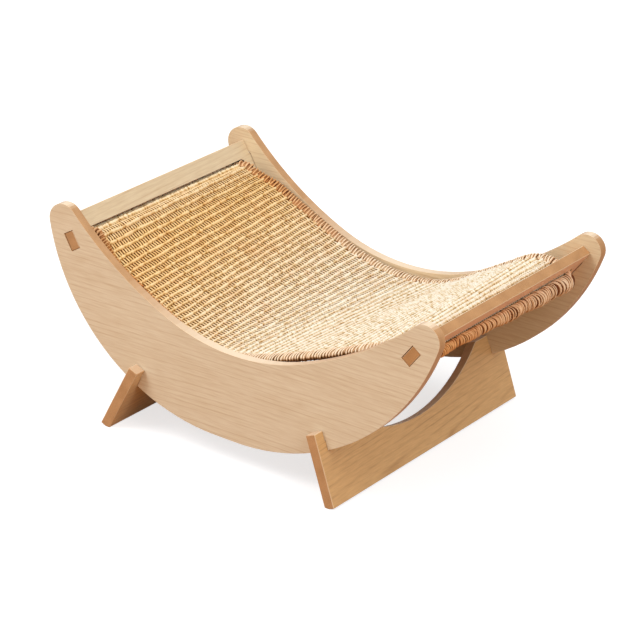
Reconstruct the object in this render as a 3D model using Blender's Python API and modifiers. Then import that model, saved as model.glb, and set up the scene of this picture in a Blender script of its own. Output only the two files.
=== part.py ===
# Cat scratcher bed: two crescent side panels, two slotted cross rails, two arched leg boards
# and a woven sisal mat slung between the rails. Everything is held by tenons and halved laps.
# Metres, +Z up. X runs along the bed, Y across it, and the origin is on the floor at its centre.

import bpy
import bmesh
import numpy as np
from math import asin, atan2, cos, hypot, pi, radians, sin, sqrt
from mathutils import Matrix, Vector

# Boards
BOARD = 0.012                    # thickness of every board
FIT = 0.0003                     # play on each side of a halved joint, and at a tenon's ends
EASED_EDGE = 0.0006              # sanded edge on every board

# Crescent side panels
PANEL_LENGTH = 0.512             # tip to tip
PANEL_TOP = 0.239                # top of the tips above the floor
TIP_RADIUS = 0.019
BELLY_HEIGHT = 0.029             # lowest edge above the floor
BELLY_FLAT = 0.027               # straight run in the middle of the lower edge
SEAT_HEIGHT = 0.1297             # middle of the upper edge above the floor
SEAT_RADIUS = 0.237              # upper edge, middle stretch
SEAT_HALF_ANGLE = radians(22)
WIDTH_OVER_PANELS = 0.361

# Cross rails with through tenons and one long slot
RAIL_HEIGHT = 0.0545
RAIL_TILT = radians(34)          # from upright, top edge outwards
RAIL_SETBACK = 0.025             # from the centre of the tip's rounding to the rail's centre
TENON_HEIGHT = 0.0212
TENON_PLAY = 0.0007              # gap on each broad side of a tenon, which the mat pulls across
TENON_RECESS = 0.0004            # tenon end behind the panel's outer face
SLOT_MARGIN = 0.0145             # solid wood from the slot's end to the panel
SLOT_PLAY = 0.0004               # above and below the mat's border where it passes through

# Leg boards
LEG_FOOT = 0.1568                # outer lower edge, from the middle of the bed
LEG_LEAN = radians(23)           # from upright, foot outwards
LEG_OVERHANG = 0.016             # past the panel's outer face
LEG_LAP = 0.0228                 # rise past the panel's lower edge
FOOT_FLAT = 0.0053               # width of the level cut that stands on the floor
ARCH_MARGIN = 0.0265             # from the panel's inner face to the arch's end
ARCH_DEPTH = 0.042

# Sisal mat, which hangs unevenly: straight from slot to slot at its near side, with more slack
# at its far side
MAT_THICKNESS = 0.007
SLOT_FALL = radians(22)          # fall of the mat as it leaves through the slot
TIGHT_CREST_RADIUS = 0.013       # pulled tight over the slot's lower edge
SLACK_CREST_RADIUS = 0.047       # rises before it enters the slot
FAR_DROP = 0.0072                # middle of the mat below the panel's upper edge
FAR_SHIFT = 0.0175               # its lowest point, towards the front rail
FAR_BACK_RADIUS = 0.241
FAR_BACK_ANGLE = radians(22.5)   # slope where the hanging arc ends
FAR_FRONT_RADIUS = 0.142
FAR_FRONT_ANGLE = radians(34)
NEAR_DROP = 0.0105
NEAR_SHIFT = -0.022
NEAR_BACK_RADIUS = 0.110
NEAR_BACK_ANGLE = radians(24)
NEAR_FRONT_RADIUS = 0.134
NEAR_FRONT_ANGLE = radians(20)
BINDING_WIDTH = 0.020            # whip-stitched border along each side
BINDING_THICKNESS = 0.009
BINDING_ROUNDING = 0.0035
BINDING_IN_SLOT = 0.016          # its width where it is drawn through the slot
SIDE_GAP = 0.0010                # border to panel
SLOT_END_GAP = 0.0025            # drawn-in border to the slot's end
BACK_DRAW_START = 0.016          # from the back hem to where the border begins to spread
BACK_DRAW_RUN = 0.054            # length over which it spreads out to the panel
FRONT_DRAW_START = 0.045
FRONT_DRAW_RUN = 0.095
SEAM_GAP = 0.0003                # between the mat, its borders, its hems and the rails
HEM_DIAMETER = 0.013
HEM_INSET = 0.003                # hem's end inside the slot's end
HEM_ROUNDING = 0.003

# Facets and helpers
ARC_STEP = radians(3)
SLOPE_STEP = 0.010               # facet length on the long, nearly straight arcs
MAT_SPANS = 56                   # facets along the mat between its tight bends
BEND_SPANS = 9                   # short facets where it bends over a slot's edge
BEND_SHARE = 0.026               # share of the mat's length that has the short facets
MAT_COLUMNS = 4                  # facets across the mat, which is twisted
DENSE_STEPS = 120                # points on each arc of a side's line before it is divided
TIP_STEPS = 14
SLOT_STEPS = 8
HEM_SIDES = 24
ROUND_SEGMENTS = 3
SMOOTH_ANGLE = radians(30)       # facets that meet at less are shaded as one round surface
CORNER_ANGLE = radians(50)       # edges sharper than this are eased or rounded
WELD = 1e-6
CUTTER_MARGIN = 0.010            # how far a cutter runs past what it cuts

# Places that follow from the sizes
PANEL_Y = WIDTH_OVER_PANELS / 2 - BOARD / 2
INNER_Y = WIDTH_OVER_PANELS / 2 - BOARD
TIP_CENTRE = np.array([PANEL_LENGTH / 2 - TIP_RADIUS, PANEL_TOP - TIP_RADIUS])
RAIL_UP = np.array([sin(RAIL_TILT), cos(RAIL_TILT)])
RAIL_OUT = np.array([cos(RAIL_TILT), -sin(RAIL_TILT)])
RAIL_CENTRE = TIP_CENTRE - RAIL_SETBACK * RAIL_UP
FALL = np.array([cos(SLOT_FALL), -sin(SLOT_FALL)])
SLOT_REACH = BOARD / 2 / (FALL @ RAIL_OUT)
SLOT_SKEW = RAIL_TILT - SLOT_FALL
SLOT_LENGTH = 2 * (INNER_Y - SLOT_MARGIN)
SLOT_HEIGHT = (BINDING_THICKNESS + BOARD * sin(SLOT_SKEW)) / cos(SLOT_SKEW) + 2 * SLOT_PLAY
ARCH_WIDTH = 2 * (INNER_Y - ARCH_MARGIN)
LEG_UP = np.array([-sin(LEG_LEAN), cos(LEG_LEAN)])
FOOT_CUT = FOOT_FLAT * sin(LEG_LEAN) * cos(LEG_LEAN)
LEG_CORNER = np.array([LEG_FOOT, BOARD * sin(LEG_LEAN) - FOOT_CUT])


def left_normal(heading):
    """Unit normal on the left of a run with this heading, in the XZ plane."""
    return np.array([-sin(heading), cos(heading)])


def arc_between(start, heading, turn, end, steps):
    """Points after start along the arc from start to end that turns by turn; start is left out."""
    length = hypot(*(end - start)) / np.sinc(turn / 2 / pi)
    part = np.arange(1, steps + 1) / steps
    chord = part * length * np.sinc(part * turn / 2 / pi)
    angle = heading + part * turn / 2
    return start + np.column_stack([chord * np.cos(angle), chord * np.sin(angle)])


def arc_to_circle(start, heading, centre, radius):
    """Points of the arc that leaves start at heading and runs on to the top of a circle.

    The arc's curvature is k = 2 (r - d.n) / (d.d - r r), with d from the circle's centre to the
    start and n the left normal there. The normal where it lands is k d + n made unit length.
    """
    from_centre = start - centre
    normal = left_normal(heading)
    curvature = 2 * (radius - from_centre @ normal) / (from_centre @ from_centre - radius ** 2)
    landing = curvature * from_centre + normal
    landing_heading = atan2(-landing[0], landing[1])
    end = centre + radius * left_normal(landing_heading)
    steps = max(4, round(hypot(*(end - start)) / SLOPE_STEP))
    return arc_between(start, heading, landing_heading - heading, end, steps), landing_heading


def round_corner(centre, radius, heading, last_heading, steps):
    """Points after the first on a circle passed clockwise from one heading to another."""
    headings = np.linspace(heading, last_heading, steps + 1)[1:]
    return centre + radius * np.column_stack([-np.sin(headings), np.cos(headings)])


def sag_arc(lowest, radius, slope):
    """Points of a hanging arc from its lowest point out to where it has this slope."""
    angles = np.linspace(0, slope, max(4, round(slope / ARC_STEP)) + 1)
    return lowest + radius * np.column_stack([np.sin(angles), 1 - np.cos(angles)])


def belly_arc():
    """Centre and radius of the lower edge: level at the flat's end and tangent to the tip."""
    across = TIP_CENTRE[0] - BELLY_FLAT / 2
    rise = TIP_CENTRE[1] - BELLY_HEIGHT
    radius = (across ** 2 + rise ** 2 - TIP_RADIUS ** 2) / (2 * (rise - TIP_RADIUS))
    return np.array([BELLY_FLAT / 2, BELLY_HEIGHT + radius]), radius


def crescent_half():
    """Right half of the panel's outline, from the middle of the upper edge to the lower edge."""
    seat = sag_arc([0, SEAT_HEIGHT], SEAT_RADIUS, SEAT_HALF_ANGLE)
    slope, heading = arc_to_circle(seat[-1], SEAT_HALF_ANGLE, TIP_CENTRE, TIP_RADIUS)
    centre, radius = belly_arc()
    start = atan2(*(TIP_CENTRE - centre)[::-1])
    tip = round_corner(TIP_CENTRE, TIP_RADIUS, heading, start - pi / 2, TIP_STEPS)
    steps = round((start + pi / 2) / ARC_STEP)
    belly = round_corner(centre, radius, start - pi / 2, -pi, steps)
    return np.vstack([seat, slope, tip, belly])


def mirrored_loop(half):
    """A closed outline from its right half, whose first point alone lies on the middle line."""
    left = half[:0:-1] * [-1, 1]
    return np.vstack([half, left])


def tilted_box(centre, up, width, height):
    """Corners of a rectangle turned so that its height runs along up."""
    side = np.array([up[1], -up[0]])
    signs = np.array([[1, 1], [-1, 1], [-1, -1], [1, -1]]) / 2
    return centre + signs[:, :1] * width * side + signs[:, 1:] * height * up


def slot_loop():
    """A rail's long slot with round ends, as a closed outline about the rail's centre."""
    turns = np.linspace(-pi / 2, pi / 2, SLOT_STEPS + 1)
    end = np.column_stack([np.cos(turns), np.sin(turns)]) * SLOT_HEIGHT / 2
    end[:, 0] += (SLOT_LENGTH - SLOT_HEIGHT) / 2
    return np.vstack([end, -end])


def srgb(code):
    """Linear colour from an sRGB hex code."""
    values = [int(code[i:i + 2], 16) / 255 for i in (1, 3, 5)]
    return [v / 12.92 if v <= 0.04045 else ((v + 0.055) / 1.055) ** 2.4 for v in values] + [1.0]


def material(name, code, roughness):
    """A plain dielectric material."""
    made = bpy.data.materials.new(name)
    made.use_nodes = True
    shader = made.node_tree.nodes["Principled BSDF"]
    shader.inputs["Base Color"].default_value = srgb(code)
    shader.inputs["Roughness"].default_value = roughness
    shader.inputs["Metallic"].default_value = 0.0
    return made


def to_mesh(curve_object, home):
    """Replace a curve object by a welded mesh object with the same name and place."""
    name = curve_object.name
    place = curve_object.matrix_world.copy()
    evaluated = curve_object.evaluated_get(bpy.context.evaluated_depsgraph_get())
    mesh = bpy.data.meshes.new_from_object(evaluated)
    bpy.data.objects.remove(curve_object)
    welded = bmesh.new()
    welded.from_mesh(mesh)
    bmesh.ops.remove_doubles(welded, verts=welded.verts, dist=WELD)
    bmesh.ops.recalc_face_normals(welded, faces=welded.faces)
    welded.to_mesh(mesh)
    welded.free()
    made = bpy.data.objects.new(name, mesh)
    made.matrix_world = place
    home.objects.link(made)
    return made


def board(name, loops, place, finish, home):
    """A board of the common thickness with the first loop as outline and the others as holes."""
    curve = bpy.data.curves.new(name, "CURVE")
    curve.dimensions = "2D"
    curve.fill_mode = "BOTH"
    curve.extrude = BOARD / 2
    for loop in loops:
        spline = curve.splines.new("POLY")
        spline.points.add(len(loop) - 1)
        for point, (x, y) in zip(spline.points, loop):
            point.co = (x, y, 0, 1)
        spline.use_cyclic_u = True
    drawn = bpy.data.objects.new(name, curve)
    drawn.matrix_world = place
    home.objects.link(drawn)
    bpy.context.view_layer.update()
    made = to_mesh(drawn, home)
    made.data.materials.append(finish)
    made.data.shade_smooth()
    made.data.set_sharp_from_angle(angle=SMOOTH_ANGLE)
    return made


def move_to(made, home):
    """Put an object in one collection only."""
    for owner in list(made.users_collection):
        owner.objects.unlink(made)
    home.objects.link(made)


def box_cutter(name, size, place, home):
    """A hidden box that cuts a board."""
    bpy.ops.mesh.primitive_cube_add(size=1)
    made = bpy.context.object
    made.name = name
    made.data.transform(Matrix.Diagonal((*size, 1)))
    made.matrix_world = place
    made.hide_render = True
    made.display_type = "WIRE"
    move_to(made, home)
    return made


def cut(target, cutter):
    """Cut a solid out of a board."""
    step = target.modifiers.new(cutter.name, "BOOLEAN")
    step.operation = "DIFFERENCE"
    step.solver = "EXACT"
    step.object = cutter


def round_edges(target, width, segments):
    """Ease or round the edges where faces meet at a corner."""
    step = target.modifiers.new("rounding", "BEVEL")
    step.width = width
    step.segments = segments
    step.limit_method = "ANGLE"
    step.angle_limit = CORNER_ANGLE
    step.harden_normals = True


def plane_matrix(origin, along, up):
    """Matrix of a board's own frame: X along, Y up and Z the outward normal."""
    along = Vector(along)
    up = Vector(up)
    turned = Matrix((along, up, along.cross(up))).transposed().to_4x4()
    turned.translation = Vector(origin)
    return turned


def end_matrix(side, point, up):
    """Frame of a cross board at one end of the bed, side +1 for the front and -1 for the back."""
    turn = Matrix.Rotation(0 if side > 0 else pi, 4, "Z")
    local = plane_matrix((point[0], 0, point[1]), (0, 1, 0), (up[0], 0, up[1]))
    return turn @ local


def leg_heights():
    """Heights along the leg's outer face: where the panel's lower edge crosses it, and its top."""
    centre, radius = belly_arc()
    offset = LEG_CORNER - centre
    along = offset @ LEG_UP
    crossing = -along - sqrt(along ** 2 - offset @ offset + radius ** 2)
    return crossing, crossing + LEG_LAP


def leg_loop(height):
    """Outline of a leg board: a rectangle with a shallow arch cut into its top edge."""
    half = WIDTH_OVER_PANELS / 2 + LEG_OVERHANG
    radius = (ARCH_WIDTH ** 2 / 4 + ARCH_DEPTH ** 2) / (2 * ARCH_DEPTH)
    reach = asin(ARCH_WIDTH / 2 / radius)
    angles = np.linspace(-reach, reach, 2 * round(reach / ARC_STEP) + 1)
    middle = height - ARCH_DEPTH + radius
    arch = np.column_stack([radius * np.sin(angles), middle - radius * np.cos(angles)])
    return np.vstack([[-half, 0], [-half, height], arch, [half, height], [half, 0]])


def rail_loop():
    """Outline of a rail with a tenon on each end."""
    shoulder = INNER_Y - SEAM_GAP
    end = WIDTH_OVER_PANELS / 2 - TENON_RECESS
    half = np.array([
        [0, RAIL_HEIGHT / 2],
        [shoulder, RAIL_HEIGHT / 2],
        [shoulder, TENON_HEIGHT / 2],
        [end, TENON_HEIGHT / 2],
        [end, -TENON_HEIGHT / 2],
        [shoulder, -TENON_HEIGHT / 2],
        [shoulder, -RAIL_HEIGHT / 2],
    ])
    return mirrored_loop(half)


def mat_half(shift, drop, sag_radius, slope, crest_radius):
    """Middle line of half the mat, from its lowest point out to a slot's mouth, as outward X, Z."""
    angles = np.linspace(0, slope, DENSE_STEPS)
    lowest = [shift, SEAT_HEIGHT - drop]
    sag = lowest + sag_radius * np.column_stack([np.sin(angles), 1 - np.cos(angles)])
    mouth = RAIL_CENTRE - SLOT_REACH * FALL
    crest_centre = mouth - crest_radius * left_normal(-SLOT_FALL)
    landing, heading = arc_to_circle(sag[-1], slope, crest_centre, crest_radius)
    rise = arc_between(sag[-1], slope, heading - slope, landing[-1], DENSE_STEPS)
    crest = round_corner(crest_centre, crest_radius, heading, -SLOT_FALL, DENSE_STEPS)
    return np.vstack([sag, rise, crest])


def hem_centre():
    """Centre of the rolled hem: against the rail's outer face, on the mat's line."""
    out = BOARD / 2 + SEAM_GAP + HEM_DIAMETER / 2
    return RAIL_CENTRE + FALL * out / (FALL @ RAIL_OUT)


def side_route(back, front):
    """Middle line of the mat along one side, from the back hem to the front hem.

    Between the slots' mouths, both sides are divided at the same shares of their length.
    """
    line = np.vstack([back[:0:-1] * [-1, 1], front])
    along = lengths_along(line)
    bend = np.linspace(0, BEND_SHARE, BEND_SPANS, endpoint=False)
    middle = np.linspace(BEND_SHARE, 1 - BEND_SHARE, MAT_SPANS + 1)
    places = np.concatenate([bend, middle, 1 - bend[::-1]]) * along[-1]
    divided = np.column_stack([np.interp(places, along, line[:, k]) for k in (0, 1)])
    reach = (hem_centre() - RAIL_CENTRE) @ FALL
    end = RAIL_CENTRE + (reach - HEM_DIAMETER / 2 - SEAM_GAP) * FALL
    return np.vstack([end * [-1, 1], divided, end])


def lengths_along(line):
    """Length from the first point of a line to each of its points."""
    return np.concatenate([[0], np.cumsum(np.hypot(*np.diff(line, axis=0).T))])


def mat_routes():
    """Middle lines of the mat's near and far sides."""
    near = side_route(
        mat_half(-NEAR_SHIFT, NEAR_DROP, NEAR_BACK_RADIUS, NEAR_BACK_ANGLE, TIGHT_CREST_RADIUS),
        mat_half(NEAR_SHIFT, NEAR_DROP, NEAR_FRONT_RADIUS, NEAR_FRONT_ANGLE, TIGHT_CREST_RADIUS))
    far = side_route(
        mat_half(-FAR_SHIFT, FAR_DROP, FAR_BACK_RADIUS, FAR_BACK_ANGLE, TIGHT_CREST_RADIUS),
        mat_half(FAR_SHIFT, FAR_DROP, FAR_FRONT_RADIUS, FAR_FRONT_ANGLE, SLACK_CREST_RADIUS))
    return near, far


def edge_lines(route):
    """Distance from the mat's middle line to its border's outer and inner edges, along the route."""
    along = lengths_along(route)
    back = (along - BACK_DRAW_START) / BACK_DRAW_RUN
    front = (along[-1] - along - FRONT_DRAW_START) / FRONT_DRAW_RUN
    part = np.clip(np.minimum(back, front), 0, 1)
    spread = part * part * (3 - 2 * part)
    in_slot = SLOT_LENGTH / 2 - SLOT_END_GAP
    outer = in_slot + (INNER_Y - SIDE_GAP - in_slot) * spread
    inner = outer - BINDING_IN_SLOT - (BINDING_WIDTH - BINDING_IN_SLOT) * spread
    return outer, inner


def strip(name, near, far, first, last, thickness, finish, home):
    """A slung strip between two edge lines, made solid.

    At a distance y from the middle, its line is a mix of the near and far lines that is linear
    in y, so the strip is twisted where these differ.
    """
    spans = len(near) - 1
    grid = bmesh.new()
    bmesh.ops.create_grid(grid, x_segments=MAT_COLUMNS, y_segments=spans, size=0.5)
    for vertex in grid.verts:
        place = round((vertex.co.y + 0.5) * spans)
        across = first[place] + (last[place] - first[place]) * (vertex.co.x + 0.5)
        share = (across + INNER_Y) / (2 * INNER_Y)
        x, z = near[place] * (1 - share) + far[place] * share
        vertex.co = (x, across, z)
    bmesh.ops.triangulate(grid, faces=grid.faces)
    mesh = bpy.data.meshes.new(name)
    grid.to_mesh(mesh)
    grid.free()
    mesh.materials.append(finish)
    mesh.shade_smooth()
    made = bpy.data.objects.new(name, mesh)
    home.objects.link(made)
    shell = made.modifiers.new("thickness", "SOLIDIFY")
    shell.thickness = thickness
    shell.offset = 0
    shell.use_even_offset = True
    return made


def hem(name, side, finish, home):
    """A rolled hem along the outside of a rail, too thick to slip back through the slot."""
    centre = hem_centre()
    bpy.ops.mesh.primitive_cylinder_add(
        vertices=HEM_SIDES, radius=HEM_DIAMETER / 2, depth=SLOT_LENGTH - 2 * HEM_INSET,
        location=(side * centre[0], 0, centre[1]), rotation=(pi / 2, 0, 0))
    made = bpy.context.object
    made.name = name
    move_to(made, home)
    made.data.materials.append(finish)
    made.data.shade_smooth()
    made.data.set_sharp_from_angle(angle=SMOOTH_ANGLE)
    return made


def main():
    for old in list(bpy.data.objects):
        bpy.data.objects.remove(old)

    bed = bpy.data.collections.new("cat_scratcher_bed")
    cutters = bpy.data.collections.new("cutters")
    bpy.context.scene.collection.children.link(bed)
    bpy.context.scene.collection.children.link(cutters)

    maple = material("maple_laminate_board", "#D9BE98", 0.45)
    sisal = material("woven_sisal", "#DDC08A", 0.9)
    yarn = material("binding_yarn", "#E0BC98", 0.85)

    crossing, leg_height = leg_heights()
    seat = crossing + LEG_LAP / 2

    legs = []
    leg_centre = LEG_CORNER - BOARD / 2 * np.array([LEG_UP[1], -LEG_UP[0]])
    for name, side in (("back_leg", -1), ("front_leg", 1)):
        place = end_matrix(side, leg_centre, LEG_UP)
        leg = board(name, [leg_loop(leg_height)], place, maple, bed)
        legs.append((leg, side, place))
        for tag, y in (("near", -PANEL_Y), ("far", PANEL_Y)):
            height = leg_height - seat + CUTTER_MARGIN + FIT
            middle = seat - FIT + height / 2
            size = (BOARD + 2 * FIT, height, BOARD + 2 * CUTTER_MARGIN)
            shift = Matrix.Translation((side * y, middle, 0))
            cut(leg, box_cutter(f"{name}_notch_{tag}", size, place @ shift, cutters))
        width = WIDTH_OVER_PANELS + 2 * LEG_OVERHANG + 2 * CUTTER_MARGIN
        size = (BOARD + 2 * CUTTER_MARGIN, width, BOARD)
        below = Matrix.Translation((side * (LEG_FOOT - BOARD / 2), 0, -BOARD / 2))
        cut(leg, box_cutter(f"{name}_floor_cut", size, below, cutters))
        round_edges(leg, EASED_EDGE, 1)

    for name, y in (("near_side_panel", -PANEL_Y), ("far_side_panel", PANEL_Y)):
        outline = mirrored_loop(crescent_half())
        tenon = tilted_box(RAIL_CENTRE, RAIL_UP, BOARD + 2 * TENON_PLAY, TENON_HEIGHT + 2 * FIT)
        place = plane_matrix((0, y, 0), (1, 0, 0), (0, 0, 1))
        panel = board(name, [outline, tenon, tenon * [-1, 1]], place, maple, bed)
        for leg, side, leg_place in legs:
            height = seat + CUTTER_MARGIN
            size = (BOARD + 2 * CUTTER_MARGIN, height, BOARD + 2 * FIT)
            shift = Matrix.Translation((side * y, seat - height / 2, 0))
            notch = f"{name}_notch_{leg.name}"
            cut(panel, box_cutter(notch, size, leg_place @ shift, cutters))
        round_edges(panel, EASED_EDGE, 1)

    for name, side in (("back_rail", -1), ("front_rail", 1)):
        place = end_matrix(side, RAIL_CENTRE, RAIL_UP)
        rail = board(name, [rail_loop(), slot_loop()], place, maple, bed)
        round_edges(rail, EASED_EDGE, 1)

    near, far = mat_routes()
    outer, inner = edge_lines((near + far) / 2)
    field = inner - SEAM_GAP
    strip("sisal_mat", near, far, -field, field, MAT_THICKNESS, sisal, bed)
    for name, first, last in (("near_binding", -outer, -inner), ("far_binding", inner, outer)):
        border = strip(name, near, far, first, last, BINDING_THICKNESS, yarn, bed)
        round_edges(border, BINDING_ROUNDING, ROUND_SEGMENTS)
    for name, side in (("back_hem", -1), ("front_hem", 1)):
        round_edges(hem(name, side, yarn, bed), HEM_ROUNDING, ROUND_SEGMENTS)


main()
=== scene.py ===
from math import atan2, cos, hypot, pi, radians, sin

import bpy
import numpy as np
from mathutils import Matrix, Vector


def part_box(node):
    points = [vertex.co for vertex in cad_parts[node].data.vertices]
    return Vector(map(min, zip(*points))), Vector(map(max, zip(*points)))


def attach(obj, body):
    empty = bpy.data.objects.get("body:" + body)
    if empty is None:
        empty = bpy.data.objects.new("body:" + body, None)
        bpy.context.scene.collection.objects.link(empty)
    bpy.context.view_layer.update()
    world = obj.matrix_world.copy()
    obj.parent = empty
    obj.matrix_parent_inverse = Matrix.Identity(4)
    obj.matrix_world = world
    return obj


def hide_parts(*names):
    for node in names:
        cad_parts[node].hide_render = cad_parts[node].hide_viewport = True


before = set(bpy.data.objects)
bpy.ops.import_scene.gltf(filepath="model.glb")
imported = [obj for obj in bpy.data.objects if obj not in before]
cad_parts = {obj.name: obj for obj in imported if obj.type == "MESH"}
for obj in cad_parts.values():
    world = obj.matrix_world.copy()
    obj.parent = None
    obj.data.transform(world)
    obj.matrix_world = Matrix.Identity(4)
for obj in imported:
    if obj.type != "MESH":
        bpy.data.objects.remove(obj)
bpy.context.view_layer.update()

scene = bpy.context.scene
scene.view_settings.view_transform = "Standard"


# Camera
# A long lens far from the bed, a little above it and turned slightly about its own axis.
AZIMUTH = radians(31.292)
ELEVATION = radians(23.415)
ROLL = radians(5.213)
DISTANCE = 3.676
LOOKED_AT = Vector((-0.0017, 0, 0.11397))
SENSOR = 36                      # in millimetres, like the lens
LENS = 182.27

back = Vector((sin(AZIMUTH) * cos(ELEVATION), -cos(AZIMUTH) * cos(ELEVATION), sin(ELEVATION)))
level = Vector((cos(AZIMUTH), sin(AZIMUTH), 0))
upright = back.cross(level)
right = level * cos(ROLL) + upright * sin(ROLL)
turned = Matrix((right, back.cross(right), back)).transposed().to_4x4()
turned.translation = LOOKED_AT + back * DISTANCE
lens = bpy.data.cameras.new("long_lens")
lens.sensor_width = SENSOR
lens.lens = LENS
camera = bpy.data.objects.new("camera", lens)
camera.matrix_world = turned
scene.collection.objects.link(camera)
scene.camera = camera


# Boards: two crescent side panels, two arched leg boards and two slotted rails
# 12 mm fibreboard faced on both sides with a printed maple laminate. Every cut edge shows the
# bare brown fibre, with the pale rim of the laminate where the edge was eased by hand, made
# paler as a painted highlight. Cut edges that face up get a painted highlight as well, and the
# walls of the rails' slots painted shade.
MAPLE_PALE = "#E6D7BC"
MAPLE_RING = "#BC9A70"
WARM_PALE = "#E4CFAB"            # a warmer print: painted warm light that the mat throws back on these boards
WARM_RING = "#B89163"
# Painted warm shade: the legs and the front rail lie in shade, so their print is more golden than
# the maple, and the front rail's fibre is darker too
HONEY_PALE = "#DDB278"
HONEY_RING = "#97683A"
TAN_PALE = "#F0AC54"
TAN_RING = "#AE6F34"
FIBRE_PALE = "#C8996A"
FIBRE_DARK = "#AF8254"
TAN_FIBRE_PALE = "#C18F5C"
TAN_FIBRE_DARK = "#A97949"
FIBRE_PAINTED_HIGHLIGHT = "#EBD5B8"          # painted highlight on edges that face up
# the laminate's own pale rim on an eased edge, made paler still as a painted highlight
LAMINATE_RIM_AND_HIGHLIGHT = "#DDBF98"
SLOT_PAINTED_SHADE = "#35190A"             # painted shade on the walls of the routed slots
SLOT_BAND = (0.16, 0.008)        # reach of a rail's slot from its middle, along it and across
BOARD_ROUGHNESS = 0.42
FIBRE_ROUGHNESS = 0.75
FIBRE_SHEEN = 0.25               # loose ends of cut fibre catch the light at a low angle
SHEEN_ROUGHNESS = 0.4
RING_SPACING = 0.0058            # between two darker lines of the grain
RING_WANDER = 3.4                # how many lines the slow waves push the grain aside
RING_THINNESS = 10               # power of the sine: higher draws thinner lines
RING_TAPER = 0.045               # how fast the rings close in along the board
SLOW_WAVES = (2.4, 16, 1)        # noise cells in a metre along the grain, across it and through
BREAKS = (9, 90, 1)
STREAKS = (45, 520, 20)
PORES = (90, 2400, 20)
CLOUDS = (2.2, 18, 1)
BREAK_GAIN = 2.4                 # how sharply the breaks cut the lines off
BREAK_START = -0.75
TONE_START = -0.46               # the print's tone goes from 0, pale, to 1, the lines' colour
LINE_TONE = 0.42                 # and this is what each pattern adds to it
STREAK_TONE = 0.6
PORE_TONE = 0.3
CLOUD_TONE = 0.4
FIBRE_GRIT = 0.0009              # coarser than the real 0.2 mm fibre, so that it shows
GRIT_ROUGHNESS = 0.6
FIBRE_PATCHES = 45               # darker and paler patches in a metre
FIBRE_STOPS = (0.36, 0.64)       # noise at the dark and at the pale colour
PAINTED_HIGHLIGHT_AT = (0.86, 1.0)           # upward share of the normal where the painted highlight begins and is full
MOST_PAINTED_HIGHLIGHT = 0.9
FACE_LIMIT = 0.9                 # the part of the normal across the board, on a face
EASED_LIMIT = 0.5                # the same on the eased edge
PORE_STRENGTH = 0.25
PORE_DEPTH = 0.0002
FINE_DETAIL = 3                  # octaves of the finer noises, and of the plainer ones
PLAIN_DETAIL = 2
RAIL_TILT = radians(34)
LEG_LEAN = radians(23)
UP = (0, 0, 1)
SMOOTH_BELOW = radians(30)       # neighbouring facets that meet at less are one round surface
WELD = 1e-5
MIX_FROM = 6                     # sockets of a Mix node that mixes colours
MIX_TO = 7
MIXED = 2


def linear(code):
    """Linear colour of an sRGB hex code: c / 12.92 near black, else ((c + 0.055) / 1.055) ^ 2.4."""
    values = [int(code[i:i + 2], 16) / 255 for i in (1, 3, 5)]
    return [v / 12.92 if v <= 0.04045 else ((v + 0.055) / 1.055) ** 2.4 for v in values] + [1]


def add(tree, kind, sockets, output=0, **settings):
    """One node with its settings and links, as the output that is asked for.

    sockets gives the inputs by name or number, or in their order. A value is a number, a colour
    or the output that the input reads.
    """
    node = tree.nodes.new(kind)
    for name, value in settings.items():
        setattr(node, name, value)
    named = sockets.items() if isinstance(sockets, dict) else enumerate(sockets)
    for socket, value in named:
        if isinstance(value, bpy.types.NodeSocket):
            tree.links.new(value, node.inputs[socket])
        else:
            node.inputs[socket].default_value = value
    return node.outputs[output]


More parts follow.
